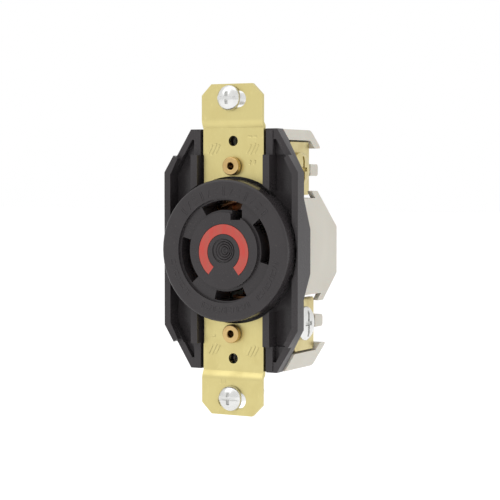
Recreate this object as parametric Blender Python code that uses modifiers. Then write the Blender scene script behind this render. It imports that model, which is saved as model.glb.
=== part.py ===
"""Flush-mounting locking receptacle, four-wire, on a two-plate brass strap.

Metres, +Z up. The face looks along -Y. The origin lies on the axis of the round face, in the plane
of the strap ears' back faces, which is the plane of the wall box.
"""
import math

import bmesh
import bpy
from mathutils import Matrix, Vector

MM = 0.001
CLEAR = 0.3 * MM                 # gap kept between touching pieces
ROUND = 64                       # facets of a large circle
SMALL_ROUND = 24                 # facets of a screw or a hole

# Strap: two plates, each with an ear that takes a mounting screw
MOUNT_SPACING = 83.34 * MM       # between the two mounting screws
PLATE_SPACING = 60.33 * MM       # between the two wall-plate screw holes
RIVET_Z = 23.2 * MM
RIVET_HEAD_R = 2.6 * MM
RIVET_SHANK_R = 1.65 * MM
EAR_HALF = 9.5 * MM
EAR_END_Z = 45.9 * MM
EAR_CHAMFER = 3.1 * MM
STRAP_THICK = 1.2 * MM
STRAP_STEP = 0.9 * MM            # how far the ears stand forward of the strap's middle
STRAP_BEND_Z = (33.75 * MM, 36.2 * MM)  # the joggle starts and ends here, in front
STRAP_KINK_Z = (34.4 * MM, 35.4 * MM)   # and behind, where it is sharper
STRAP_ARC_R = 20.4 * MM
SLOT_LENGTH = 9.0 * MM
SLOT_WIDTH = 4.6 * MM

# Front housing, from its face backwards
HALF_WIDTH = 21.03 * MM
HALF_HEIGHT = 33.5 * MM
TOP_HALF = 13.58 * MM            # half the straight top edge
SIDE_HALF = 21.5 * MM            # half the straight side edge
FACE_Y = -5.9 * MM
FACE_R = 19.68 * MM
NECK_R = 19.3 * MM
MOAT_R = 20.7 * MM
RIM_Y = -0.2 * MM
LIP_Y = -2.3 * MM
RIB_Y = -2.5 * MM
RIB_IN = 10.33 * MM
RIB_OUT = 12.36 * MM
SHOULDER_Z = 26.4 * MM           # where the ribs and lips step down
STRIP_END_Z = 33.0 * MM          # the low strips beside the strap end here
CHANNEL_Y = 2.3 * MM
BAY_Y = 1.25 * MM
TAPER_END_Z = 31.0 * MM
SIDE_WALL_Y = 1.4 * MM
HOUSING_BACK_Y = 3.3 * MM
SKIRT_Y = 5.4 * MM

# Face
RING_IN_R = 14.4 * MM
BOSS_R = 10.5 * MM
RECESS_Y = -4.9 * MM
BLADE_IN_R = 11.2 * MM
BLADE_OUT_R = 13.9 * MM
MARK_OUT_R = 7.75 * MM
MARK_IN_R = 5.1 * MM
MARK_DROP = 0.45 * MM
MARK_GAP_DEG = 37.5
DIMPLE_R = 3.5 * MM
# blade slots: start and end angle, clockwise from the top, seen from the front
BLADES = {"ground": (-32, 23), "right_line": (50, 105), "neutral": (151, 194), "left_line": (229, 285)}
HOOK_X = (2.2 * MM, 5.3 * MM)    # the ground slot's hook, towards the middle
HOOK_Z = (8.5 * MM, 11.3 * MM)

# Rear body. Heights that differ are given for the upper end, 1, and the lower end, -1.
BODY_FRONT_Y = HOUSING_BACK_Y + CLEAR
BODY_BACK_Y = 25.2 * MM
BLOCK_HALF = 19.6 * MM
BLOCK_END_Z = {1: 14.4 * MM, -1: 12.2 * MM}
BLOCK_FLAT_Z = {1: 6.2 * MM, -1: 7.0 * MM}
BLOCK_SLOPE = 1.232              # how far the slope comes forward for each step away from the middle
FIN_END_Z = {1: 16.4 * MM, -1: 14.2 * MM}
FIN_THICK_Y = 3.7 * MM
FIN_THICK_X = 1.5 * MM
CORE_HALF = 10.0 * MM
CORE_START_Z = 11.0 * MM
CORE_BACK_Y = 17.3 * MM
BAY_END_Z = {1: 30.4 * MM, -1: 28.5 * MM}
HOOK_END_Z = {1: 28.2 * MM, -1: 26.4 * MM}
HOOK_FRONT_Y = 16.7 * MM
CAP_END_Z = 33.4 * MM
CAP_BACK_Y = 20.8 * MM
CAP_TIP_HALF = 13.45 * MM        # half the cap's width, 0.6 mm beyond its end face
CAP_STAGGER = 0.3 * MM
STAGGER = 0.8 * MM               # two opposite corners sit further out than the other two
DIVIDER_Z = {1: (20.5 * MM, 23.8 * MM), -1: (18.6 * MM, 22.0 * MM)}
DIVIDER_X = 16.2 * MM
DIVIDER_Y = (16.7 * MM, 21.5 * MM)
POCKET_X = (10.3 * MM, 17.9 * MM)
POCKET_Y = (4.2 * MM, 13.0 * MM)
CONTACT_FRONT_Y = 5.2 * MM
CONTACT_BACK_Y = 12.0 * MM
TAIL_START_X = {1: 5.5 * MM, -1: 4.2 * MM}
TAIL_Z = {1: (10.6 * MM, 12.2 * MM), -1: (8.7 * MM, 10.3 * MM)}

# Terminals
CLAMP_FACE_X = 16.0 * MM
CLAMP_THICK = 1.4 * MM
WIRE_GAP = 2.2 * MM
PLATE_THICK = 1.3 * MM
PLATE_Y = (4.4 * MM, 16.2 * MM)
PLATE_Z = {1: (15.2 * MM, 29.9 * MM), -1: (13.3 * MM, 28.0 * MM)}
TONGUE_BACK_Y = 9.0 * MM
TONGUE_Z = 9.9 * MM
SCREW_Y = 8.6 * MM
SCREW_Z = {1: 22.3 * MM, -1: 20.3 * MM}
SCREW_HEAD_R = 4.75 * MM
SCREW_HEAD_H = 2.0 * MM
SCREW_SHANK_R = 2.35 * MM
SCREW_LENGTH = 8.0 * MM
SCREW_POCKET_X = 4.6 * MM        # how near the middle the holes for the screws' tips reach

# Mounting screws rest a little off the middle of their slots
MOUNT_REST = {1: (-0.5 * MM, 0.3 * MM), -1: (-0.05 * MM, 0.5 * MM)}
MOUNT_TIP_Y = 16.2 * MM
MOUNT_HEAD_R = 3.5 * MM
MOUNT_SHANK_R = 1.7 * MM
WASHER_Y = (11.0 * MM, 11.8 * MM)
WASHER_R = (1.85 * MM, 2.6 * MM)

# corner name: side along X, side along Z, which blade it feeds
CORNERS = {
    "upper_right": (1, 1, "right_line"),
    "lower_right": (1, -1, "neutral"),
    "upper_left": (-1, 1, "ground"),
    "lower_left": (-1, -1, "left_line"),
}

for old in list(bpy.data.objects):
    bpy.data.objects.remove(old, do_unlink=True)
parts = bpy.data.collections.new("locking_receptacle")
cutters = bpy.data.collections.new("cutters")
for group in (parts, cutters):
    bpy.context.scene.collection.children.link(group)
base = bpy.data.objects.new("receptacle_base", None)
parts.objects.link(base)


# ---------------------------------------------------------------- materials
def material(name, colour, roughness, metallic=0.0):
    made = bpy.data.materials.new(name)
    made.use_nodes = True
    shader = made.node_tree.nodes["Principled BSDF"]
    shader.inputs["Base Color"].default_value = (*colour, 1.0)
    shader.inputs["Roughness"].default_value = roughness
    shader.inputs["Metallic"].default_value = metallic
    return made


BLACK = material("black_nylon", (0.028, 0.026, 0.027), 0.38)
IVORY = material("ivory_nylon", (0.60, 0.57, 0.50), 0.45)
STRAP_BRASS = material("strap_brass", (0.74, 0.62, 0.30), 0.35, 1.0)
RIVET_BRASS = material("rivet_brass", (0.62, 0.45, 0.18), 0.3, 1.0)
TERMINAL_BRASS = material("terminal_brass", (0.70, 0.60, 0.32), 0.32, 1.0)
ZINC = material("zinc_steel", (0.72, 0.72, 0.70), 0.3, 1.0)
GREEN_STEEL = material("green_steel", (0.12, 0.34, 0.16), 0.4, 0.6)
COPPER = material("contact_copper_alloy", (0.72, 0.42, 0.22), 0.35, 1.0)
RED = material("red_print", (0.55, 0.09, 0.07), 0.5)
FIBRE = material("washer_fibre", (0.55, 0.42, 0.25), 0.8)


# ---------------------------------------------------------------- shape helpers
def as_mesh(obj, smooth=30):
    """Turn a curve or a modified object into a plain mesh object, in place in the world."""
    bpy.context.view_layer.update()
    evaluated = obj.evaluated_get(bpy.context.evaluated_depsgraph_get())
    mesh = bpy.data.meshes.new_from_object(evaluated)
    mesh.transform(obj.matrix_world)
    work = bmesh.new()
    work.from_mesh(mesh)
    bmesh.ops.remove_doubles(work, verts=work.verts, dist=1e-6)
    bmesh.ops.recalc_face_normals(work, faces=work.faces)
    work.to_mesh(mesh)
    work.free()
    mesh.shade_smooth()
    mesh.set_sharp_from_angle(angle=math.radians(smooth))
    made = bpy.data.objects.new(obj.name, mesh)
    bpy.data.objects.remove(obj, do_unlink=True)
    cutters.objects.link(made)
    return made


def flat(name, outlines, depth):
    """A flat 2D outline, or several, with fill on both sides and an extrude of half its depth."""
    curve = bpy.data.curves.new(name, "CURVE")
    curve.dimensions = "2D"
    curve.fill_mode = "BOTH"
    curve.extrude = depth / 2
    for outline in outlines:
        spline = curve.splines.new("POLY")
        spline.points.add(len(outline) - 1)
        for point, (u, v) in zip(spline.points, outline):
            point.co = (u, v, 0, 1)
        spline.use_cyclic_u = True
    obj = bpy.data.objects.new(name, curve)
    cutters.objects.link(obj)
    return obj


def front_prism(name, outline, y_low, y_high):
    """An outline in X and Z, carried from y_low back to y_high."""
    obj = flat(name, [outline], y_high - y_low)
    obj.rotation_euler = (math.pi / 2, 0, 0)
    obj.location = (0, (y_low + y_high) / 2, 0)
    return as_mesh(obj)


def side_prism(name, outline, x_low, x_high):
    """An outline in Y and Z, carried from x_low to x_high."""
    obj = flat(name, [outline], x_high - x_low)
    obj.rotation_euler = (math.pi / 2, 0, math.pi / 2)
    obj.location = ((x_low + x_high) / 2, 0, 0)
    return as_mesh(obj)


def box(name, low, high):
    mesh = bpy.data.meshes.new(name)
    work = bmesh.new()
    size = [high[i] - low[i] for i in range(3)]
    middle = [(high[i] + low[i]) / 2 for i in range(3)]
    bmesh.ops.create_cube(work, size=1.0, matrix=Matrix.Translation(middle) @ Matrix.Diagonal((*size, 1)))
    work.to_mesh(mesh)
    work.free()
    obj = bpy.data.objects.new(name, mesh)
    cutters.objects.link(obj)
    return obj


def turned(name, profile, axis, centre, facets, ring=False):
    """A profile of (radius, height) points, top to bottom, turned round an axis through centre."""
    mesh = bpy.data.meshes.new(name)
    points = [(radius, 0, height) for radius, height in profile]
    edges = [(i, i + 1) for i in range(len(points) - 1)] + ([(len(points) - 1, 0)] if ring else [])
    mesh.from_pydata(points, edges, [])
    obj = bpy.data.objects.new(name, mesh)
    cutters.objects.link(obj)
    screw = obj.modifiers.new("turn", "SCREW")
    screw.axis = "Z"
    screw.steps = facets
    screw.render_steps = facets
    screw.use_merge_vertices = True
    screw.merge_threshold = 1e-6
    spin = {"-Y": (math.pi / 2, 0, 0), "+X": (0, math.pi / 2, 0), "-X": (0, -math.pi / 2, 0)}[axis]
    obj.rotation_euler = spin
    obj.location = centre
    return as_mesh(obj)


def boolean(target, operation, tools, solver="EXACT"):
    for tool in tools:
        step = target.modifiers.new(f"{operation.lower()}_{tool.name}", "BOOLEAN")
        step.operation = operation
        step.object = tool
        step.solver = solver
    return target


def cut(target, *tools):
    return boolean(target, "DIFFERENCE", tools)


def unite(target, *tools, solver="EXACT"):
    return boolean(target, "UNION", tools, solver)


def finish(obj, name, paint, origin=(0, 0, 0)):
    """Move a made shape to the parts, with its own name, material and origin."""
    obj.name = name
    obj.data.name = name
    cutters.objects.unlink(obj)
    parts.objects.link(obj)
    obj.data.materials.clear()
    obj.data.materials.append(paint)
    obj.data.transform(Matrix.Translation([-value for value in origin]))
    obj.location = origin
    obj.parent = base
    return obj


def arc(radius, start_deg, end_deg, steps, drop=0.0):
    """Points on a circle in X and Z, clockwise from the top as seen from the front."""
    angles = [math.radians(start_deg + (end_deg - start_deg) * i / steps) for i in range(steps + 1)]
    return [(radius * math.sin(a), radius * math.cos(a) - drop) for a in angles]


def sector(inner, outer, start_deg, end_deg, steps, drop=0.0):
    return arc(outer, start_deg, end_deg, steps, drop) + arc(inner, end_deg, start_deg, steps, drop)


def mirrored(outline):
    """Close an outline that is given for +X only, from the top down."""
    return outline + [(-x, z) for x, z in reversed(outline)]


def rounded(outline, radius, steps=4):
    """The outline with an arc in place of each corner; radius is one value, or one for each corner."""
    points = [Vector(point) for point in outline]
    radii = radius if isinstance(radius, (list, tuple)) else [radius] * len(points)
    made = []
    for i, corner in enumerate(points):
        back = (points[i - 1] - corner).normalized()
        ahead = (points[(i + 1) % len(points)] - corner).normalized()
        half = back.angle(ahead) / 2
        if radii[i] == 0 or half > math.radians(89):
            made.append(tuple(corner))
            continue
        centre = corner + (back + ahead).normalized() * (radii[i] / math.sin(half))
        first = corner + back * (radii[i] / math.tan(half)) - centre
        last = corner + ahead * (radii[i] / math.tan(half)) - centre
        for step in range(steps + 1):
            made.append(tuple(centre + first.slerp(last, step / steps) * radii[i]))
    return made


def octagon(inset):
    """The housing's outline, drawn in by inset."""
    diagonal = math.hypot(HALF_WIDTH - TOP_HALF, HALF_HEIGHT - SIDE_HALF)
    along = (HALF_HEIGHT - SIDE_HALF) / diagonal
    across = (HALF_WIDTH - TOP_HALF) / diagonal
    top = TOP_HALF - inset * (1 - across) / along
    side = SIDE_HALF - inset * (1 - along) / across
    wide, high = HALF_WIDTH - inset, HALF_HEIGHT - inset
    return mirrored([(top, high), (wide, side), (wide, -side), (top, -high)])


def cylinder(name, radius, axis, centre, low, high, facets=SMALL_ROUND):
    return turned(name, [(0, high), (radius, high), (radius, low), (0, low)], axis, centre, facets)


# ---------------------------------------------------------------- front housing
def lip_outline(side):
    """The proud lip along one side of the housing, with its slanted ends."""
    inner, outer = 19.0 * MM, HALF_WIDTH
    half = [(outer, SIDE_HALF), (18.1 * MM, 26.22 * MM), (16.8 * MM, 25.4 * MM), (inner, 21.1 * MM)]
    points = half + [(x, -z) for x, z in reversed(half)]
    return [(side * x, z) for x, z in points]


def face_disc():
    """The round face with its edge rounding, its ring recess and its stepped centre dimple."""
    edge = 0.8 * MM
    front = -FACE_Y
    rounding = [
        (FACE_R - edge + edge * math.sin(a), front - edge + edge * math.cos(a))
        for a in (math.radians(22.5 * i) for i in range(5))
    ]
    dimple = [(0, front - 1.2 * MM), (0.35 * MM, front - 1.2 * MM)]
    for ring in range(1, 5):
        crest = ring * DIMPLE_R / 5
        depth = 1.25 * MM - ring * 0.17 * MM
        dimple += [(crest, front - depth + 0.35 * MM), (crest + 0.2 * MM, front - depth + 0.35 * MM),
                   (crest + 0.35 * MM, front - depth)]
    dimple.append((DIMPLE_R, front - 0.5 * MM))
    recess = [(BOSS_R, front), (BOSS_R, -RECESS_Y), (RING_IN_R, -RECESS_Y), (RING_IN_R, front)]
    root = -CHANNEL_Y - 0.5 * MM
    skirt = [(FACE_R, 0.5 * MM), (NECK_R, -0.6 * MM), (NECK_R, root), (0, root)]
    profile = dimple + [(DIMPLE_R, front)] + recess + rounding + skirt
    return turned("face_disc", profile, "-Y", (0, 0, 0), ROUND)


def housing_end(end):
    """The deeper wall at one end. Its back edge comes forward towards the housing's long side."""
    edge = 0.01 * MM
    rim = [(TOP_HALF - edge, HALF_HEIGHT - edge), (HALF_WIDTH - edge, SIDE_HALF - edge)]
    rim = [(x, end * z) for x, z in mirrored(rim)]
    wall = front_prism("housing_end", rim, SIDE_WALL_Y - 0.1 * MM, HOUSING_BACK_Y - edge)
    low, high = SIDE_WALL_Y - 0.05 * MM, HOUSING_BACK_Y + 1 * MM
    taper = [(low, SIDE_HALF - 1 * MM), (low, SIDE_HALF), (HOUSING_BACK_Y, TAPER_END_Z), (high, TAPER_END_Z),
             (high, SIDE_HALF - 1 * MM)]
    cut(wall, side_prism("end_taper", [(y, end * z) for y, z in taper], -22 * MM, 22 * MM))
    return as_mesh(wall)


def front_housing():
    body = front_prism("front_housing", octagon(0), RIM_Y, SIDE_WALL_Y)
    tub = front_prism("housing_tub", octagon(1.7 * MM), SIDE_WALL_Y - 0.1 * MM, HOUSING_BACK_Y)
    added = [tub]
    for side in (1, -1):
        added.append(front_prism("housing_lip", lip_outline(side), LIP_Y, 0.1 * MM))
        skirt = [(SIDE_WALL_Y - 0.1 * MM, 14.6 * MM), (SKIRT_Y, 5.9 * MM),
                 (SKIRT_Y, -6.3 * MM), (SIDE_WALL_Y - 0.1 * MM, -13.2 * MM)]
        x = sorted((side * (BLOCK_HALF + CLEAR), side * (HALF_WIDTH - 0.01 * MM)))
        added.append(side_prism("housing_skirt", skirt, *x))
        rib_x = sorted((side * (RIB_IN - 0.2 * MM), side * (RIB_OUT + 0.2 * MM)))
        strip_x_range = sorted((side * (RIB_IN - 0.3 * MM), side * RIB_OUT))
        for end in (1, -1):
            low, high = sorted((end * 12 * MM, end * (SHOULDER_Z - 0.1 * MM)))
            added.append(box("housing_rib", (rib_x[0], RIB_Y, low), (rib_x[1], 0.1 * MM, high)))
            low, high = sorted((end * (SHOULDER_Z - 0.2 * MM), end * STRIP_END_Z))
            strip = ((strip_x_range[0], -0.5 * MM, low), (strip_x_range[1], 0.1 * MM, high))
            added.append(box("housing_strip", *strip))
    for end in (1, -1):
        added.append(housing_end(end))
    unite(body, *added)

    removed = [cylinder("moat", MOAT_R, "-Y", (0, 0, 0), -CHANNEL_Y, 9 * MM, ROUND)]
    for side in (1, -1):
        channel = [(RIB_OUT, SHOULDER_Z), (16.0 * MM, SHOULDER_Z), (19.15 * MM, 20.9 * MM)]
        channel = [(side * x, z) for x, z in channel + [(x, -z) for x, z in reversed(channel)]]
        removed.append(front_prism("channel", channel, -9 * MM, CHANNEL_Y))
        for end in (1, -1):
            upper = [(RIB_OUT + 0.1 * MM, 26.2 * MM), (15.9 * MM, 26.2 * MM), (13.3 * MM, 30.6 * MM),
                     (RIB_OUT + 0.1 * MM, 30.6 * MM)]
            upper = [(side * x, end * z) for x, z in upper]
            removed.append(front_prism("upper_channel", upper, -8 * MM, 1.5 * MM))
    bay = RIB_IN
    removed.append(box("strap_bay", (-bay, -9 * MM, -40 * MM), (bay, BAY_Y, 40 * MM)))
    cut(body, *removed)
    unite(body, face_disc(), solver="MANIFOLD")

    removed = []
    for start, end in BLADES.values():
        outline = sector(BLADE_IN_R, BLADE_OUT_R, start, end, 14)
        removed.append(front_prism("blade_slot", outline, -7 * MM, 5 * MM))
    removed.append(box("slot_hook", (HOOK_X[0], -7 * MM, HOOK_Z[0]), (HOOK_X[1], 5 * MM, HOOK_Z[1])))
    outline = sector(MARK_IN_R - 0.15 * MM, MARK_OUT_R + 0.15 * MM,
                     -180 + MARK_GAP_DEG, 180 - MARK_GAP_DEG, 32, MARK_DROP)
    removed.append(front_prism("mark_pocket", outline, FACE_Y - 1 * MM, FACE_Y + 0.6 * MM))
    for end in (1, -1):
        for z, radius in ((RIVET_Z, 2.0 * MM), (PLATE_SPACING / 2, 1.9 * MM)):
            hole = (0, 0, end * z)
            removed.append(cylinder("housing_hole", radius, "-Y", hole, -5 * MM, 3 * MM, 16))
    cut(body, *removed)
    return finish(as_mesh(body), "front_housing", BLACK)


def red_marking():
    outline = sector(MARK_IN_R, MARK_OUT_R, -180 + MARK_GAP_DEG, 180 - MARK_GAP_DEG, 32, MARK_DROP)
    obj = front_prism("red_marking", outline, FACE_Y - 0.03 * MM, FACE_Y + 0.3 * MM)
    return finish(obj, "red_marking", RED)


# ---------------------------------------------------------------- rear body
def slope_y(z, end):
    """How far back the block's slope lies at a distance z from the middle."""
    return BODY_BACK_Y - (z - BLOCK_FLAT_Z[end]) * BLOCK_SLOPE


def body_block():
    """The deep middle block: a flat back and two slopes that face up and down."""
    halves = []
    for end in (1, -1):
        top, flat_end = BLOCK_END_Z[end], BLOCK_FLAT_Z[end]
        half = [(BODY_FRONT_Y, end * top), (slope_y(top, end), end * top), (BODY_BACK_Y, end * flat_end)]
        halves.append(half)
    outline = rounded(halves[0] + halves[1][::-1], [0, 0, 0.7 * MM, 0.7 * MM, 0, 0])
    return side_prism("rear_body", outline, -BLOCK_HALF, BLOCK_HALF)


def body_fin(side, end):
    """The slope's plate, carried on past the block's end beside a terminal, with a rounded tip."""
    root_z, tip_z = BLOCK_END_Z[end] - 0.3 * MM, FIN_END_Z[end]
    root_y, tip_y = (slope_y(z, end) - 0.02 * MM for z in (root_z, tip_z))
    outline = [(root_y - FIN_THICK_Y, root_z), (tip_y - FIN_THICK_Y, tip_z), (tip_y, tip_z), (root_y, root_z)]
    outline = rounded(outline, [0, 0.3 * MM, 1.0 * MM, 0])
    x = sorted((side * (BLOCK_HALF - FIN_THICK_X), side * (BLOCK_HALF - 0.01 * MM)))
    return side_prism("body_fin", [(y, end * z) for y, z in outline], *x)


def body_cap(end):
    """One end wall: it follows the housing's octagon and hooks round behind the terminals."""
    outline = [
        (BODY_FRONT_Y, CAP_END_Z), (CAP_BACK_Y, CAP_END_Z), (CAP_BACK_Y, HOOK_END_Z[end]),
        (HOOK_FRONT_Y, HOOK_END_Z[end]), (HOOK_FRONT_Y, BAY_END_Z[end]), (BODY_FRONT_Y, BAY_END_Z[end]),
    ]
    outline = rounded(outline, [0, 0.9 * MM, 1.2 * MM, 0.5 * MM, 0.4 * MM, 0])
    cap = side_prism("body_cap", [(y, end * z) for y, z in outline], -22 * MM, 22 * MM)
    lean = (HALF_WIDTH - TOP_HALF) / (HALF_HEIGHT - SIDE_HALF)
    high_z, low_z = 34.0 * MM, 25.5 * MM
    corners = []
    for side in (1, -1):
        out = CAP_TIP_HALF - side * end * CAP_STAGGER
        pair = [(out, high_z), (out + (high_z - low_z) * lean, low_z)]
        corners += [(side * x, end * z) for x, z in (pair if side > 0 else reversed(pair))]
    shape = front_prism("cap_outline", corners, 0, 30 * MM)
    return boolean(cap, "INTERSECT", [shape])


def divider(side, end):
    """The nub between a terminal's two wire entries, with rounded back corners."""
    low, high = DIVIDER_Z[end]
    front, back = DIVIDER_Y
    outline = rounded([(front, low), (front, high), (back, high), (back, low)], [0, 0, 0.9 * MM, 0.9 * MM])
    outline = [(y, end * z) for y, z in outline]
    reach = DIVIDER_X + corner_out(side, end)
    return side_prism("divider", outline, *sorted((side * (CORE_HALF - 3 * MM), side * reach)))


def corner_out(side, end):
    """How far this corner's terminal is moved out from its nominal place."""
    return -side * end * STAGGER


def rear_body():
    body = body_block()
    added = []
    for end in (1, -1):
        low, high = sorted((end * CORE_START_Z, end * (BAY_END_Z[end] + 1.2 * MM)))
        added.append(box("body_core", (-CORE_HALF, BODY_FRONT_Y, low), (CORE_HALF, CORE_BACK_Y, high)))
        added.append(as_mesh(body_cap(end)))
        for side in (1, -1):
            added.append(body_fin(side, end))
            added.append(divider(side, end))
    unite(body, *added)

    cavity = []
    for end in (1, -1):
        root, tip = BLOCK_END_Z[end] - 1.6 * MM, BLOCK_FLAT_Z[end] - 1.2 * MM
        half = [(BODY_FRONT_Y - 1 * MM, end * root), (12.6 * MM, end * root), (22.4 * MM, end * tip)]
        cavity = cavity + (half if end > 0 else half[::-1])
    removed = [side_prism("cavity", cavity, -15.6 * MM, 15.6 * MM)]
    for end in (1, -1):
        z = sorted((end * (BLOCK_END_Z[end] - 3.5 * MM), end * (BLOCK_END_Z[end] + 4 * MM)))
        for side in (1, -1):
            x = sorted((side * POCKET_X[0], side * POCKET_X[1]))
            removed.append(box("terminal_pocket", (x[0], POCKET_Y[0], z[0]), (x[1], POCKET_Y[1], z[1])))
        z = sorted((end * 10.0 * MM, end * 14.9 * MM))
        well = ((-7.9 * MM, 0, z[0]), (7.9 * MM, CONTACT_BACK_Y + 0.7 * MM, z[1]))
        removed.append(box("contact_well", *well))
        rivet = (0, 0, end * RIVET_Z)
        removed.append(cylinder("rivet_hole", 2.0 * MM, "-Y", rivet, -30 * MM, 0, 16))
        plate_hole = (0, 0, end * PLATE_SPACING / 2)
        removed.append(cylinder("plate_hole", 1.8 * MM, "-Y", plate_hole, -11.8 * MM, 0, 16))
        for side in (1, -1):
            out = corner_out(side, end)
            x = sorted((side * (strip_x(out)[0] - CLEAR), side * (strip_x(out)[1] + CLEAR)))
            z = sorted((end * 10.0 * MM, end * 15.0 * MM))
            strip = ((x[0], PLATE_Y[0] - CLEAR, z[0]), (x[1], TONGUE_BACK_Y + CLEAR, z[1]))
            removed.append(box("strip_slot", *strip))
            x = sorted((side * SCREW_POCKET_X, side * (CORE_HALF + 1 * MM)))
            screw = (x[0], SCREW_Y, end * SCREW_Z[end])
            removed.append(cylinder("screw_pocket", 2.9 * MM, "+X", screw, 0, x[1] - x[0], 16))
    removed.append(box("ground_groove", (-2.9 * MM, 0, 14.0 * MM), (2.9 * MM, 5.1 * MM, 26.5 * MM)))
    cut(body, *removed)
    return finish(as_mesh(body), "rear_body", IVORY)


# ---------------------------------------------------------------- strap and rivets
def strap(name, end):
    low, high = STRAP_BEND_Z
    joggle = []
    for i in range(7):
        share = (1 - i / 6) ** 2
        joggle.append((STRAP_STEP * share - STRAP_THICK, low + (high - low) * i / 6))
    front = [(STRAP_STEP - STRAP_THICK, 12.0 * MM)] + joggle + [(-STRAP_THICK, EAR_END_Z)]
    back = [(0, EAR_END_Z), (0, STRAP_KINK_Z[1]), (STRAP_STEP, STRAP_KINK_Z[0]), (STRAP_STEP, 12.0 * MM)]
    profile = front + back
    plate = side_prism(name, [(y, end * z) for y, z in profile], -EAR_HALF, EAR_HALF)
    removed = [cylinder("arc_end", STRAP_ARC_R, "-Y", (0, 0, 0), -5 * MM, 5 * MM, ROUND)]
    for side in (1, -1):
        wide, high = EAR_HALF + 1 * MM, EAR_END_Z + 1 * MM
        corner = [(wide, high - EAR_CHAMFER - 2 * MM), (wide, high), (wide - EAR_CHAMFER - 2 * MM, high)]
        corner = [(side * x, end * z) for x, z in corner]
        removed.append(front_prism("ear_chamfer", corner, -5 * MM, 5 * MM))
        x = sorted((side * 9.3 * MM, side * 12 * MM))
        z = sorted((end * 10 * MM, end * SHOULDER_Z))
        removed.append(box("neck", (x[0], -5 * MM, z[0]), (x[1], 5 * MM, z[1])))
    half = (SLOT_LENGTH - SLOT_WIDTH) / 2
    slot = arc(SLOT_WIDTH / 2, 0, 180, 10)
    slot = [(x + half, z) for x, z in slot] + [(-x - half, -z) for x, z in slot]
    slot = [(x, z + end * MOUNT_SPACING / 2) for x, z in slot]
    removed.append(front_prism("screw_slot", slot, -5 * MM, 5 * MM))
    for z, radius in ((RIVET_Z, 1.95 * MM), (PLATE_SPACING / 2, 1.45 * MM)):
        removed.append(cylinder("strap_hole", radius, "-Y", (0, 0, end * z), -5 * MM, 5 * MM))
    cut(plate, *removed)
    return finish(as_mesh(plate), name, STRAP_BRASS)


def rivet(name, end):
    """A tubular rivet: flat head in front, rolled tail behind the rear body's core."""
    head, tail = STRAP_THICK - STRAP_STEP + CLEAR, CORE_BACK_Y + CLEAR
    bore = 0.95 * MM
    profile = [
        (bore, head + 1.3 * MM), (1.2 * MM, head + 1.55 * MM), (2.2 * MM, head + 1.55 * MM),
        (2.5 * MM, head + 1.4 * MM), (RIVET_HEAD_R, head + 1.15 * MM), (RIVET_HEAD_R, head),
        (RIVET_SHANK_R, head), (RIVET_SHANK_R, -tail), (2.8 * MM, -tail), (2.8 * MM, -tail - 0.5 * MM),
        (1.9 * MM, -tail - 1.0 * MM), (bore, -tail - 1.0 * MM),
    ]
    obj = turned(name, profile, "-Y", (0, 0, end * RIVET_Z), SMALL_ROUND, ring=True)
    return finish(obj, name, RIVET_BRASS, (0, 0, end * RIVET_Z))


# ---------------------------------------------------------------- contacts and terminals
def strip_x(out):
    """Inner and outer face of a corner's fixed terminal plate, as distances from the middle."""
    outer = CLAMP_FACE_X + out - CLAMP_THICK - WIRE_GAP
    return outer - PLATE_THICK, outer


def contact(name, start, end, blade):
    """Two curved leaves that grip the blade, joined by a web behind it."""
    front, leaf = CONTACT_FRONT_Y, 0.7 * MM
    inner = sector(BLADE_IN_R - leaf - 0.1 * MM, BLADE_IN_R - 0.1 * MM, start + 1, end - 1, 12)
    outer = sector(BLADE_OUT_R + 0.1 * MM - leaf, BLADE_OUT_R + 0.1 * MM, start + 1, end - 1, 12)
    web = sector(BLADE_IN_R - leaf - 0.2 * MM, BLADE_OUT_R + 0.2 * MM, start + 0.5, end - 0.5, 13)
    body = front_prism(name, web, CONTACT_BACK_Y - 1.0 * MM, CONTACT_BACK_Y)
    leaves = [
        front_prism("leaf", inner, front, CONTACT_BACK_Y - 0.5 * MM),
        front_prism("leaf", outer, front, CONTACT_BACK_Y - 0.5 * MM),
    ]
    if blade in ("ground", "neutral"):
        side, up = (-1, 1) if blade == "ground" else (1, -1)
        x = sorted((side * TAIL_START_X[up], side * (strip_x(corner_out(side, up))[0] - CLEAR)))
        z = sorted(up * height for height in TAIL_Z[up])
        tail_back = CONTACT_BACK_Y - 0.2 * MM
        leaves.append(box("tail", (x[0], TONGUE_BACK_Y + CLEAR, z[0]), (x[1], tail_back, z[1])))
    unite(body, *leaves)
    return finish(as_mesh(body), name, COPPER)


def terminal_plate(name, side, end):
    """The fixed plate, with a square seat in the bay and a tongue that reaches the contact."""
    x_in, x_out = strip_x(corner_out(side, end))
    z_low, z_high = PLATE_Z[end]
    outline = [
        (PLATE_Y[0], TONGUE_Z), (PLATE_Y[0], z_high), (PLATE_Y[1], z_high),
        (PLATE_Y[1], z_low), (TONGUE_BACK_Y, z_low), (TONGUE_BACK_Y, TONGUE_Z),
    ]
    x = sorted((side * x_in, side * x_out))
    plate = side_prism(name, [(y, end * z) for y, z in outline], *x)
    hole = (x[0] - 1 * MM, SCREW_Y, end * SCREW_Z[end])
    cut(plate, cylinder("tapped_hole", SCREW_SHANK_R + 0.15 * MM, "+X", hole, 0, 5 * MM))
    return finish(as_mesh(plate), name, TERMINAL_BRASS)


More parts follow.
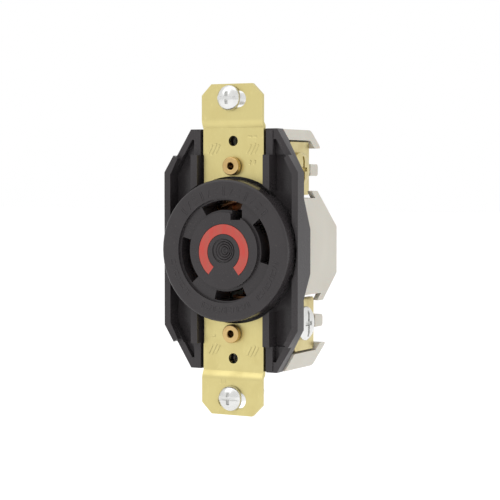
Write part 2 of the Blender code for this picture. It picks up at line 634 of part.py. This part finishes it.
def clamp_plate(name, side, end):
    """The loose pressure plate under the screw head; it slides along X."""
    face = CLAMP_FACE_X + corner_out(side, end)
    x = sorted((side * face, side * (face - CLAMP_THICK)))
    notch = 0.5 * MM
    y_low, y_high = PLATE_Y
    z_low, z_high = PLATE_Z[end]
    outline = [
        (y_low + notch, z_low), (y_high - notch, z_low), (y_high, z_low + notch), (y_high, z_high - notch),
        (y_high - notch, z_high), (y_low + notch, z_high), (y_low, z_high - notch), (y_low, z_low + notch),
    ]
    plate = side_prism(name, [(y, end * z) for y, z in outline], *x)
    hole = (x[0] - 1 * MM, SCREW_Y, end * SCREW_Z[end])
    cut(plate, cylinder("clear_hole", SCREW_SHANK_R + 0.3 * MM, "+X", hole, 0, 5 * MM))
    return finish(as_mesh(plate), name, TERMINAL_BRASS, (side * face, SCREW_Y, end * SCREW_Z[end]))


def terminal_screw(name, side, end, paint):
    """Domed head with a combination recess; the shank passes both plates."""
    face = CLAMP_FACE_X + corner_out(side, end) + CLEAR
    radius, high = SCREW_HEAD_R, SCREW_HEAD_H
    centre = (side * face, SCREW_Y, end * SCREW_Z[end])
    axis = "+X" if side > 0 else "-X"
    profile = [
        (0, high), (radius * 0.55, high), (radius * 0.85, high * 0.85), (radius, high * 0.55), (radius, 0),
        (SCREW_SHANK_R, 0), (SCREW_SHANK_R, 1 * MM - SCREW_LENGTH), (SCREW_SHANK_R * 0.6, -SCREW_LENGTH),
        (0, -SCREW_LENGTH),
    ]
    body = turned(name, profile, axis, centre, SMALL_ROUND)
    top = side * (face + high)
    x = sorted((top - side * 0.8 * MM, top + side * 1 * MM))
    slot = box("slot", (x[0], SCREW_Y - 0.5 * MM, end * SCREW_Z[end] - 3.6 * MM),
               (x[1], SCREW_Y + 0.5 * MM, end * SCREW_Z[end] + 3.6 * MM))
    cross = box("cross", (x[0] - 0.05 * MM, SCREW_Y - 2.0 * MM, end * SCREW_Z[end] - 0.55 * MM),
                (x[1] + 0.05 * MM, SCREW_Y + 2.0 * MM, end * SCREW_Z[end] + 0.55 * MM))
    cut(body, slot, cross)
    return finish(as_mesh(body), name, paint, centre)


def ground_strip():
    """A flat strip from the upper rivet down to the ground contact's well."""
    strip = box("ground_strip", (-2.6 * MM, 3.9 * MM, 14.6 * MM), (2.6 * MM, 4.8 * MM, 26.2 * MM))
    cut(strip, cylinder("strip_hole", 1.95 * MM, "-Y", (0, 0, RIVET_Z), -9 * MM, 0))
    return finish(as_mesh(strip), "ground_strip", COPPER)


# ---------------------------------------------------------------- mounting screws
def mount_centre(end):
    """Where a mounting screw's axis crosses the plane of the ears' backs."""
    x, z = MOUNT_REST[end]
    return (x, 0, end * MOUNT_SPACING / 2 + z)


def mounting_screw(name, end):
    """Round-head screw through the ear's slot, held by a washer behind the ear."""
    head, high, radius = STRAP_THICK + CLEAR, 2.1 * MM, MOUNT_HEAD_R
    centre = mount_centre(end)
    tip, shank = MOUNT_TIP_Y, MOUNT_SHANK_R
    dome = [(radius * math.sin(a), head + 0.5 * MM + (high - 0.5 * MM) * math.cos(a))
            for a in (math.radians(18 * i) for i in range(6))]
    profile = dome + [(radius, head), (shank, head), (shank, 0.8 * MM - tip), (1.0 * MM, -tip), (0, -tip)]
    body = turned(name, profile, "-Y", centre, SMALL_ROUND)
    y = (-head - high - 1 * MM, -head - high + 1.1 * MM)
    x, z = centre[0], centre[2]
    slot = box("slot", (x - 4 * MM, y[0], z - 0.45 * MM), (x + 4 * MM, y[1], z + 0.45 * MM))
    cross = ((x - 0.5 * MM, y[0] - 0.1 * MM, z - 1.7 * MM), (x + 0.5 * MM, y[1] - 0.1 * MM, z + 1.7 * MM))
    cut(body, slot, box("cross", *cross))
    return finish(as_mesh(body), name, ZINC, centre)


def retaining_washer(name, end):
    """A loose ring on the screw's thread; it slides in the ear's slot with the screw."""
    (inner, outer), (front, back) = WASHER_R, WASHER_Y
    profile = [(inner, -front), (outer, -front), (outer, -back), (inner, -back)]
    centre = mount_centre(end)
    washer = turned(name, profile, "-Y", centre, SMALL_ROUND, ring=True)
    return finish(washer, name, FIBRE, centre)


front_housing()
red_marking()
rear_body()
ground_strip()
for place, end in (("upper", 1), ("lower", -1)):
    strap(f"{place}_strap", end)
    rivet(f"{place}_rivet", end)
    mounting_screw(f"{place}_mounting_screw", end)
    retaining_washer(f"{place}_retaining_washer", end)
for corner, (side, end, blade) in CORNERS.items():
    contact(f"{blade}_contact", *BLADES[blade], blade)
    terminal_plate(f"{corner}_terminal_plate", side, end)
    clamp_plate(f"{corner}_clamp_plate", side, end)
    screw_paint = {"ground": GREEN_STEEL, "neutral": ZINC}.get(blade, TERMINAL_BRASS)
    terminal_screw(f"{corner}_terminal_screw", side, end, screw_paint)
for tool in cutters.objects:
    tool.hide_render = True
    tool.display_type = "WIRE"
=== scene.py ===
# %% [markdown]
# # A flush locking receptacle, dressed for the studio
# The frame holds the solid parts of a four-wire locking receptacle: a black front housing with a
# round twist-lock face, a brass strap, and a pale rear body with a screw terminal on each corner.
# The solids already have the right shape and place, so this lesson only adds what a maker sees up
# close: softened edges, struck and raised marks, and the finish of each material.

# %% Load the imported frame
import math

import bmesh
import bpy
from mathutils import Matrix, Vector


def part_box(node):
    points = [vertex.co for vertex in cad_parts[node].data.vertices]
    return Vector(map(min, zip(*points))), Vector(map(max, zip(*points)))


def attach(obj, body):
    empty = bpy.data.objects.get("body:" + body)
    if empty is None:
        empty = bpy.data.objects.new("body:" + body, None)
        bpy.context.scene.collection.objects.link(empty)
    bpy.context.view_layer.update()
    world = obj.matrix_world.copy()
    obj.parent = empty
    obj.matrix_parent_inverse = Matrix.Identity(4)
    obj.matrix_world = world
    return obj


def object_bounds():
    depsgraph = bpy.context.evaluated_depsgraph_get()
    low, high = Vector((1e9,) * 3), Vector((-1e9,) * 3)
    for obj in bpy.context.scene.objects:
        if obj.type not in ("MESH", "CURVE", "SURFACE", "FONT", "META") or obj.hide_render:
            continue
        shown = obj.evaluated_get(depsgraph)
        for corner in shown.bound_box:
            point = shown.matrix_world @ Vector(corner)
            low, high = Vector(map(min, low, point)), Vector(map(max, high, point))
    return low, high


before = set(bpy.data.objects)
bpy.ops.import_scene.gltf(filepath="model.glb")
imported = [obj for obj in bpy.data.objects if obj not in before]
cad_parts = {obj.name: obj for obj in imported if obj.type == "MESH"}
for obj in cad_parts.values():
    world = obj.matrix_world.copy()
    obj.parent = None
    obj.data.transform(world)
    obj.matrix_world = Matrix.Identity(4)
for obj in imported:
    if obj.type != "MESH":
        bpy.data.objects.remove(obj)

MM = 0.001
cad_low, cad_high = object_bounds()

# %% [markdown]
# ## The camera
# A small product is best seen from a little more than its own length away with a long lens, so
# that its far side hardly shrinks. It looks from the right of the face and slightly from above,
# which shows the round face, the strap and one row of terminals in the same picture.

# %% Camera
CAMERA_AZIMUTH = math.radians(28.87)
CAMERA_ELEVATION = math.radians(2.66)
CAMERA_DISTANCE = 454.65 * MM
CAMERA_AIM = Vector((0, -0.27 * MM, 0))
CAMERA_LENS = 118.1          # millimetres, as a lens is named
CAMERA_SHIFT = 0.0335        # the film moved sideways, as a share of its width

camera_data = bpy.data.cameras.new("studio_camera")
camera_data.lens = CAMERA_LENS
camera_data.shift_x = CAMERA_SHIFT
camera = bpy.data.objects.new("studio_camera", camera_data)
bpy.context.scene.collection.objects.link(camera)
towards_camera = Vector((
    math.sin(CAMERA_AZIMUTH) * math.cos(CAMERA_ELEVATION),
    -math.cos(CAMERA_AZIMUTH) * math.cos(CAMERA_ELEVATION),
    math.sin(CAMERA_ELEVATION),
))
camera.location = CAMERA_AIM + towards_camera * CAMERA_DISTANCE
camera.rotation_euler = (-towards_camera).to_track_quat("-Z", "Y").to_euler()
bpy.context.scene.camera = camera
bpy.context.scene.view_settings.view_transform = "Standard"
print("camera stands", round(camera.location.length / MM), "mm away")

# %% [markdown]
# ## Shader maths that reads like Python
# A finish is a small graph of nodes. Wiring each node by hand hides the idea, so one class wraps
# an output socket and turns + - and * into Math nodes, and another holds the material and makes every
# other kind of node from its type, its settings and what feeds its sockets.

# %% Value and Finish
class Value:
    """One output socket, with ordinary arithmetic."""

    def __init__(self, finish, socket):
        self.finish = finish
        self.socket = socket

    def maths(self, operation, first, second):
        return self.finish.node("ShaderNodeMath", {"operation": operation}, {0: first, 1: second})

    def __add__(self, other):
        return self.maths("ADD", self, other)

    def __sub__(self, other):
        return self.maths("SUBTRACT", self, other)

    def __rsub__(self, other):
        return self.maths("SUBTRACT", other, self)

    def __mul__(self, other):
        return self.maths("MULTIPLY", self, other)

    __radd__ = __add__
    __rmul__ = __mul__


class Finish:
    """A material being made: its nodes, and the shader that they feed."""

    def __init__(self, name, **steady):
        self.material = bpy.data.materials.new(name)
        self.material.use_nodes = True
        self.tree = self.material.node_tree
        self.shader = self.tree.nodes["Principled BSDF"]
        for socket, value in steady.items():
            self.shader.inputs[socket.replace("_", " ")].default_value = value

    def node(self, kind, settings=None, sockets=None, output=0):
        """A node of one type: its settings are set first, then its sockets are filled or linked."""
        made = self.tree.nodes.new(kind)
        for name, value in (settings or {}).items():
            setattr(made, name, value)
        for name, value in (sockets or {}).items():
            self.feed(made, name, value)
        return Value(self, made.outputs[output])

    def feed(self, node, name, value):
        if isinstance(value, Value):
            self.tree.links.new(value.socket, node.inputs[name])
        else:
            node.inputs[name].default_value = value

    def set(self, name, value):
        """What a surface shows on one of the shader's own sockets."""
        self.feed(self.shader, name, value)


print("shader helpers ready")

# %% [markdown]
# ## The patterns that finishes are made of
# Moulded and stamped surfaces share a few patterns: soft clouds from the flow of the melt, a fine
# grain, streaks from rolling or turning, and small scratches. Each is written once here, with its
# size in metres, so that it has the right scale on the object. All of them read the object's own
# coordinates, so a pattern stays on its piece when the piece moves.

# %% Patterns
MIX_FACTOR, MIX_FIRST, MIX_SECOND, MIX_RESULT = 0, 6, 7, 2   # the Mix node's sockets for colours


def spot(finish, stretch=(1, 1, 1)):
    """Where on the piece we are, in metres. A small stretch draws a pattern out along that axis."""
    place = finish.node("ShaderNodeTexCoord", output="Object")
    return finish.node("ShaderNodeVectorMath", {"operation": "MULTIPLY"}, {0: place, 1: stretch})


def clouds(finish, size, detail=2.0, stretch=(1, 1, 1)):
    """Cloudy noise from 0 to 1, with features of about this size."""
    sockets = {"Vector": spot(finish, stretch), "Scale": 1 / size, "Detail": detail}
    return finish.node("ShaderNodeTexNoise", {}, sockets, "Fac")


def between(finish, value, low, high, to_low=0.0, to_high=1.0):
    """Rescale a value, and hold it at the ends."""
    sockets = {"Value": value, "From Min": low, "From Max": high, "To Min": to_low, "To Max": to_high}
    return finish.node("ShaderNodeMapRange", {"clamp": True}, sockets)


def scratches(finish, size, stretch, share=0.03):
    """Thin lines where stretched noise crosses its middle value, broken up by larger clouds."""
    wander = clouds(finish, size, 1.0, stretch)
    away = finish.node("ShaderNodeMath", {"operation": "ABSOLUTE"}, {0: wander - 0.5})
    line = between(finish, away, 0.0, share, 1.0, 0.0)
    broken = between(finish, clouds(finish, size * 6), 0.5, 0.62)
    return line * broken


def dents(finish, size):
    """Shallow round dents, as small parts get from tumbling together."""
    sockets = {"Vector": spot(finish), "Scale": 1 / size}
    return finish.node("ShaderNodeTexVoronoi", {"feature": "SMOOTH_F1"}, sockets, "Distance")


def edge_wear_and_highlight_mask(finish, radius):
    """1 where two faces meet in an outer edge or corner, 0 on open faces. The finishes paint edges
    lighter with it, as wear and as a painted highlight.
    """
    soft = finish.node("ShaderNodeBevel", {"samples": 4}, {"Radius": radius})
    real = finish.node("ShaderNodeNewGeometry", output="Normal")
    dot = {"operation": "DOT_PRODUCT"}
    facing = finish.node("ShaderNodeVectorMath", dot, {0: soft, 1: real}, "Value")
    return between(finish, 1 - facing, 0.02, 0.2)


def mix(finish, factor, first, second):
    """A colour part of the way from the first to the second."""
    colours = [(*c, 1) if isinstance(c, tuple) else c for c in (first, second)]
    sockets = {MIX_FACTOR: factor, MIX_FIRST: colours[0], MIX_SECOND: colours[1]}
    return finish.node("ShaderNodeMix", {"data_type": "RGBA"}, sockets, MIX_RESULT)


def relief(finish, height):
    """Tilt the surface as a real height in metres would."""
    finish.set("Normal", finish.node("ShaderNodeBump", {}, {"Height": height, "Distance": 1.0}))


print("patterns ready")

# %% [markdown]
# ## Black moulded plastic
# The front housing is glass-filled nylon from a steel mould. Its black is never pure: it has a
# faint waviness from shrinkage, a fine spark-eroded grain that breaks up reflections, a little
# pale dust, and edges painted slightly lighter, partly as rubbing and partly as a painted
# highlight. Gloss comes from a low, uneven roughness.

# %% Black housing finish
def black_plastic():
    finish = Finish("black_plastic", Specular_IOR_Level=0.32)
    flow = clouds(finish, 9 * MM, 3.0)
    grain = clouds(finish, 0.16 * MM, 2.0)
    wave = clouds(finish, 2.6 * MM, 1.0)
    rub_and_highlight = edge_wear_and_highlight_mask(finish, 0.25 * MM) * between(finish, clouds(finish, 1.3 * MM), 0.35, 0.65, 0.3, 1.0)
    dust = between(finish, clouds(finish, 0.32 * MM, 4.0), 0.66, 0.74)
    colour = mix(finish, flow, (0.026, 0.0225, 0.024), (0.035, 0.031, 0.0325))
    # edges painted lighter: rubbing, and a painted highlight along every edge
    colour = mix(finish, rub_and_highlight * 0.55, colour, (0.075, 0.07, 0.072))
    colour = mix(finish, dust * 0.3, colour, (0.2, 0.18, 0.16))
    finish.set("Base Color", colour)
    finish.set("Roughness", between(finish, flow + grain * 0.5, 0.4, 1.1, 0.22, 0.34) + dust * 0.2)
    relief(finish, grain * (0.006 * MM) + wave * (0.012 * MM))
    return finish.material


BLACK = black_plastic()
print("made", BLACK.name)

# %% [markdown]
# ## Pale moulded plastic
# The rear body is a natural-coloured nylon. It is cloudier and a little warmer where it is thick,
# lets a trace of light in, and shows flow marks and the odd dark speck of burnt resin.

# %% Pale body finish
def pale_plastic():
    finish = Finish("pale_plastic", Subsurface_Weight=0.08, Subsurface_Scale=0.6 * MM)
    flow = clouds(finish, 11 * MM, 4.0, (1, 1, 0.5))
    grain = clouds(finish, 0.14 * MM, 2.0)
    wave = clouds(finish, 3.2 * MM, 1.0)
    speck = between(finish, clouds(finish, 0.5 * MM, 1.0), 0.79, 0.83)
    rub_and_highlight = edge_wear_and_highlight_mask(finish, 0.35 * MM)
    colour = mix(finish, between(finish, flow, 0.3, 0.7), (0.47, 0.445, 0.385), (0.52, 0.495, 0.435))
    # edges painted lighter: rubbing, and a painted highlight along every edge
    colour = mix(finish, rub_and_highlight * 0.35, colour, (0.62, 0.59, 0.53))
    colour = mix(finish, speck * 0.6, colour, (0.32, 0.24, 0.17))
    finish.set("Base Color", colour)
    finish.set("Roughness", between(finish, flow + grain * 0.4, 0.3, 1.0, 0.4, 0.54))
    relief(finish, grain * (0.006 * MM) + wave * (0.01 * MM))
    return finish.material


PALE = pale_plastic()
print("made", PALE.name)

# %% [markdown]
# ## Struck marks
# The press that cuts the strap also strikes marks into it. They are a tenth of a millimetre deep,
# so a height in the finish is enough. Each mark is a short stroke with rounded edges, measured
# along and across its own direction. Here they are plain bars and ticks that say nothing.

# %% Struck marks
STRIKE_DEPTH = 0.09 * MM
STRIKE_HALF = 0.2 * MM       # half the width of a stroke
STRIKE_SOFT = 0.14 * MM      # how far its rounded edge runs


def struck(finish, marks):
    """1 inside a struck stroke, 0 outside. A mark is (x, z, length, degrees from level), in mm."""
    place = finish.node("ShaderNodeTexCoord", output="Object")
    x, z = (finish.node("ShaderNodeSeparateXYZ", {}, {0: place}, axis) for axis in ("X", "Z"))
    total = None
    for at_x, at_z, length, turn in marks:
        along_x, along_z = math.cos(math.radians(turn)), math.sin(math.radians(turn))
        right, up = x - at_x * MM, z - at_z * MM
        size = {"operation": "ABSOLUTE"}
        along = finish.node("ShaderNodeMath", size, {0: right * along_x + up * along_z})
        across = finish.node("ShaderNodeMath", size, {0: up * along_x - right * along_z})
        half = length * MM / 2
        in_length = between(finish, along, half, half + STRIKE_SOFT, 1.0, 0.0)
        in_width = between(finish, across, STRIKE_HALF, STRIKE_HALF + STRIKE_SOFT, 1.0, 0.0)
        stroke = in_length * in_width
        total = stroke if total is None else total + stroke
    return total


# three slanted bars on either side of the strap, with short ticks round them, all in mm
BAR_X, BAR_Z = 6.1, 27.9
BAR_STEP, BAR_LENGTH, BAR_SHORTER, BAR_SLANT = 1.15, 3.4, 0.8, 62
STRAP_MARKS = []
for side, end in ((-1, 1), (1, 1), (-1, -1), (1, -1)):
    for step in (-1, 0, 1):
        length = BAR_LENGTH - abs(step) * BAR_SHORTER
        STRAP_MARKS.append((side * BAR_X + step * BAR_STEP, end * BAR_Z, length, BAR_SLANT))
STRAP_MARKS += [(5.2, 31.3, 1.0, 0), (6.8, 31.3, 1.0, 0), (5.3, 24.2, 1.1, 70), (6.7, 24.2, 1.1, 70),
                (-6.4, -24.1, 1.2, 0), (-3.4, -36.6, 1.2, 90), (-2.3, -36.6, 1.2, 90)]
print("struck marks:", len(STRAP_MARKS))

# %% [markdown]
# ## Metals
# Every metal here starts from the same recipe: a base colour that tarnish darkens in patches, a
# grain drawn out along the direction of rolling or turning, tumbling dents, and fine scratches
# that are both brighter and rougher. Only the colours and amounts differ, so one function makes
# them all and each metal is a line that names its own values.

# %% Metal finishes
def metal(name, bright, tarnished, roughness, grain_along, dent=0.0, tarnish=0.5, metallic=1.0, marks=()):
    finish = Finish(name)
    patches = between(finish, clouds(finish, 5 * MM, 4.0), 0.42, 0.68)
    grain = clouds(finish, 0.12 * MM, 3.0, grain_along)
    fine = clouds(finish, 0.07 * MM, 2.0)
    lines = scratches(finish, 0.5 * MM, tuple(share ** 0.7 for share in grain_along))
    edge = edge_wear_and_highlight_mask(finish, 0.2 * MM)
    colour = mix(finish, patches * tarnish, bright, tarnished)
    colour = mix(finish, grain * 0.25, colour, tarnished)
    lighter = tuple(min(1.0, part * 1.12 + 0.03) for part in bright)
    # edges painted lighter: wear, and a painted highlight along every edge
    colour = mix(finish, edge * 0.6, colour, lighter)
    colour = mix(finish, lines * 0.5, colour, lighter)
    finish.set("Base Color", colour)
    finish.set("Metallic", between(finish, patches, 0.0, 1.0, metallic, metallic * 0.96))
    low, high = roughness
    finish.set("Roughness", between(finish, grain + patches * 0.5, 0.25, 1.1, low, high) + lines * 0.1)
    height = grain * (0.003 * MM) + fine * (0.0015 * MM) - lines * (0.004 * MM)
    if dent:
        height = height + dents(finish, 0.8 * MM) * (dent * MM)
    if marks:
        height = height - struck(finish, marks) * STRIKE_DEPTH
    relief(finish, height)
    return finish.material


ALONG_Z = (1, 1, 0.06)
ALONG_Y = (1, 0.08, 1)
NO_GRAIN = (1, 1, 1)

STRAP_BRASS = metal("strap_brass", (0.62, 0.54, 0.245), (0.53, 0.44, 0.18), (0.34, 0.46), ALONG_Z,
                    tarnish=0.3, marks=STRAP_MARKS)
RIVET_BRASS = metal("rivet_brass", (0.60, 0.43, 0.19), (0.42, 0.26, 0.10), (0.24, 0.4), NO_GRAIN, 0.02)
TERMINAL_BRASS = metal("terminal_brass", (0.62, 0.54, 0.27), (0.46, 0.36, 0.16), (0.26, 0.42), ALONG_Y,
                       0.015)
ZINC_STEEL = metal("zinc_steel", (0.72, 0.72, 0.71), (0.55, 0.55, 0.53), (0.2, 0.34), NO_GRAIN, 0.02)
GREEN_STEEL = metal("green_steel", (0.09, 0.30, 0.13), (0.05, 0.2, 0.09), (0.26, 0.4), NO_GRAIN, 0.02,
                    metallic=0.7)
COPPER_ALLOY = metal("contact_copper", (0.62, 0.32, 0.15), (0.36, 0.15, 0.07), (0.28, 0.46), ALONG_Y)
print("made six metals")

# %% [markdown]
# ## Red print and fibre
# The horseshoe on the face is thick pad-printed ink: flat, slightly chalky, with a soft mottling
# where the pad lifted. The retaining washers are vulcanised fibre, a matt brown board whose
# fibres lie every way.

# %% Print and fibre finishes
def red_ink():
    finish = Finish("red_ink", Specular_IOR_Level=0.35)
    lift = clouds(finish, 1.4 * MM, 4.0, (1, 1, 0.35))
    pores = between(finish, clouds(finish, 0.11 * MM, 2.0), 0.62, 0.72)
    colour = mix(finish, between(finish, lift, 0.35, 0.68), (0.46, 0.05, 0.038), (0.38, 0.078, 0.058))
    colour = mix(finish, pores * 0.3, colour, (0.2, 0.03, 0.025))
    finish.set("Base Color", colour)
    finish.set("Roughness", between(finish, lift, 0.3, 0.7, 0.45, 0.6))
    relief(finish, clouds(finish, 0.18 * MM, 2.0) * (0.006 * MM) - pores * (0.004 * MM))
    return finish.material


def fibre_board():
    finish = Finish("fibre_board", Specular_IOR_Level=0.3)
    hair = scratches(finish, 0.3 * MM, (1, 1, 0.25), 0.08)
    felt = clouds(finish, 0.5 * MM, 5.0)
    colour = mix(finish, felt, (0.40, 0.29, 0.16), (0.58, 0.45, 0.28))
    finish.set("Base Color", mix(finish, hair * 0.6, colour, (0.7, 0.6, 0.42)))
    finish.set("Roughness", between(finish, felt, 0.2, 0.8, 0.7, 0.9))
    relief(finish, felt * (0.02 * MM) + hair * (0.01 * MM))
    return finish.material


RED = red_ink()
FIBRE = fibre_board()
print("made", RED.name, "and", FIBRE.name)

# %% [markdown]
# ## Dress the solid parts
# A solid straight from design has knife edges, and a knife edge catches no light. Real mouldings
# and stampings are rounded by a few tenths of a millimetre. Modifiers do that without touching the
# part's own mesh: weld the imported facets, merge flat neighbours, bevel what is left, and even
# out the normals so that flat faces stay flat and the bevels look round.

# %% Soften edges and give each part its finish
def soften(node, width, angle=32.0, segments=2):
    weld = node.modifiers.new("join_facets", "WELD")
    weld.merge_threshold = 0.001 * MM
    merge = node.modifiers.new("merge_flat_faces", "DECIMATE")
    merge.decimate_type = "DISSOLVE"
    merge.angle_limit = math.radians(0.6)
    bevel = node.modifiers.new("round_edges", "BEVEL")
    bevel.width = width
    bevel.segments = segments
    bevel.limit_method = "ANGLE"
    bevel.angle_limit = math.radians(angle)
    even = node.modifiers.new("even_normals", "WEIGHTED_NORMAL")
    even.weight = 60


def dress(name, finish, round_edge):
    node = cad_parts[name]
    for slot in node.material_slots:
        slot.material = finish
    if round_edge:
        soften(node, round_edge)


CORNERS = ("upper_right", "lower_right", "upper_left", "lower_left")
SCREW_FINISH = {"upper_right": TERMINAL_BRASS, "lower_right": ZINC_STEEL,
                "upper_left": GREEN_STEEL, "lower_left": TERMINAL_BRASS}
dress("front_housing", BLACK, 0.22 * MM)
dress("rear_body", PALE, 0.35 * MM)
dress("red_marking", RED, 0.03 * MM)
dress("ground_strip", COPPER_ALLOY, 0.08 * MM)
for blade in ("ground", "right_line", "neutral", "left_line"):
    dress(f"{blade}_contact", COPPER_ALLOY, 0.08 * MM)
for place in ("upper", "lower"):
    dress(f"{place}_strap", STRAP_BRASS, 0.14 * MM)
    dress(f"{place}_rivet", RIVET_BRASS, 0.12 * MM)
    dress(f"{place}_mounting_screw", ZINC_STEEL, 0.1 * MM)
    dress(f"{place}_retaining_washer", FIBRE, 0.06 * MM)
for corner in CORNERS:
    dress(f"{corner}_terminal_plate", TERMINAL_BRASS, 0.12 * MM)
    dress(f"{corner}_clamp_plate", TERMINAL_BRASS, 0.15 * MM)
    dress(f"{corner}_terminal_screw", SCREW_FINISH[corner], 0.12 * MM)
print("dressed", len(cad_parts), "parts")

# %% [markdown]
# ## Raised marks on the face
# The mould of the face is engraved, so its marks stand a tenth of a millimetre proud on the flat
# ring. Here they are plain bars: they show how such a ring is filled, and say nothing. One
# function places a bar by its clock angle and its distance from the middle, and loops fill the
# four groups. Bars are built in one mesh, because they are one moulding with the face.

# %% Raised bars
MARK_HEIGHT = 0.11 * MM
MARK_WIDTH = 0.3 * MM
MARK_SINK = 0.05 * MM        # how far a bar reaches into the face, so that no gap shows
MARK_RADIUS = 16.4 * MM
MARK_ROUND = 0.05 * MM       # rounding of a bar's edges
PAIR_APART = 1.8             # degrees between the two bars of a pair
SLANT = 22                   # degrees that a slanted bar leans from the radius
DASH_LENGTH = 4 * MARK_WIDTH
# from and to angle, step between marks, all in degrees, and the length of a mark in mm
MARK_GROUPS = ((-50, 50, 8.3, 2.5), (101, 142, 4.3, 1.6), (152, 204, 4.3, 1.6), (224, 261, 4.3, 1.6))
face_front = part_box("front_housing")[0].y


def bar(work, clock, radius, length, turn=0.0):
    """One raised bar: clock is its angle on the face, turn tilts it away from the radius."""
    angle = math.radians(clock)
    thick = MARK_HEIGHT + MARK_SINK
    y = face_front + MARK_SINK - thick / 2
    place = Matrix.Translation((radius * math.sin(angle), y, radius * math.cos(angle)))
    spin = Matrix.Rotation(angle + math.radians(turn), 4, "Y")
    shape = Matrix.Diagonal((MARK_WIDTH, thick, length, 1))
    bmesh.ops.create_cube(work, size=1, matrix=place @ spin @ shape)


def as_piece(name, work, finish, body):
    """Turn a worked mesh into a piece with its finish, which moves with one body."""
    bmesh.ops.recalc_face_normals(work, faces=work.faces)
    mesh = bpy.data.meshes.new(name)
    work.to_mesh(mesh)
    work.free()
    mesh.materials.append(finish)
    piece = bpy.data.objects.new(name, mesh)
    bpy.context.scene.collection.objects.link(piece)
    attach(piece, body)
    return piece


def face_marks():
    """The groups round the ring: a pair of bars, a slanted bar and two cross dashes, in turn."""
    work = bmesh.new()
    for start, end, step, tall in MARK_GROUPS:
        count = int((end - start) / step) + 1
        for i in range(count):
            clock = start + i * step
            length = tall * MM
            if i % 3 == 0:
                bar(work, clock - PAIR_APART / 2, MARK_RADIUS, length)
                bar(work, clock + PAIR_APART / 2, MARK_RADIUS, length)
            elif i % 3 == 1:
                bar(work, clock, MARK_RADIUS, length, SLANT)
            else:
                bar(work, clock, MARK_RADIUS + length / 3, DASH_LENGTH, 90)
                bar(work, clock, MARK_RADIUS - length / 3, DASH_LENGTH, 90)
    piece = as_piece("face_marks", work, BLACK, "receptacle")
    rounding = piece.modifiers.new("round_edges", "BEVEL")
    rounding.width = MARK_ROUND
    rounding.segments = 2
    return piece


marks = face_marks()
print("raised marks:", len(marks.data.polygons), "faces")

# %% [markdown]
# ## Floor and light
# A white tent: a broad pale floor, white air all round, and large soft boxes. The boxes are what
# makes gloss readable, because black plastic shows mostly what it reflects.

# %% Floor and lights
FLOOR_DROP = 45 * MM
FLOOR_HALF = 4.0
FLOOR_GLOW = 0.12            # paper lit from below, so that it meets the white air without a line


def pale_floor():
    finish = Finish("floor_paper", Roughness=0.9, Specular_IOR_Level=0.1, Emission_Strength=FLOOR_GLOW)
    tooth = clouds(finish, 3 * MM, 3.0)
    finish.set("Base Color", mix(finish, tooth, (0.93, 0.93, 0.93), (0.96, 0.96, 0.96)))
    finish.set("Emission Color", (1, 1, 1, 1))
    relief(finish, tooth * (0.02 * MM))
    mesh = bpy.data.meshes.new("studio_floor")
    work = bmesh.new()
    lift = Matrix.Translation((0, 0, cad_low.z - FLOOR_DROP))
    bmesh.ops.create_grid(work, x_segments=8, y_segments=8, size=FLOOR_HALF, matrix=lift)
    work.to_mesh(mesh)
    work.free()
    mesh.materials.append(finish.material)
    floor = bpy.data.objects.new("studio_floor", mesh)
    bpy.context.scene.collection.objects.link(floor)


def soft_box(name, azimuth, elevation, distance, width, height, power):
    """A rectangular light that looks at the object from a direction given as for the camera."""
    lamp = bpy.data.lights.new(name, "AREA")
    lamp.shape = "RECTANGLE"
    lamp.size = width
    lamp.size_y = height
    lamp.energy = power
    light = bpy.data.objects.new(name, lamp)
    bpy.context.scene.collection.objects.link(light)
    side, up = math.radians(azimuth), math.radians(elevation)
    away = Vector((math.sin(side) * math.cos(up), -math.cos(side) * math.cos(up), math.sin(up)))
    light.location = away * distance
    light.rotation_euler = (-away).to_track_quat("-Z", "Y").to_euler()


world = bpy.data.worlds.new("studio_air")
world.use_nodes = True
air = world.node_tree.nodes["Background"]
air.inputs["Color"].default_value = (1, 1, 1, 1)
air.inputs["Strength"].default_value = 1.0
bpy.context.scene.world = world
pale_floor()
soft_box("key_box", -35, 40, 0.9, 0.6, 0.6, 1.2)
soft_box("right_box", 105, 12, 0.8, 0.5, 0.7, 0.45)
soft_box("top_box", 20, 82, 0.9, 0.9, 0.9, 1.5)
print("lights and floor ready")
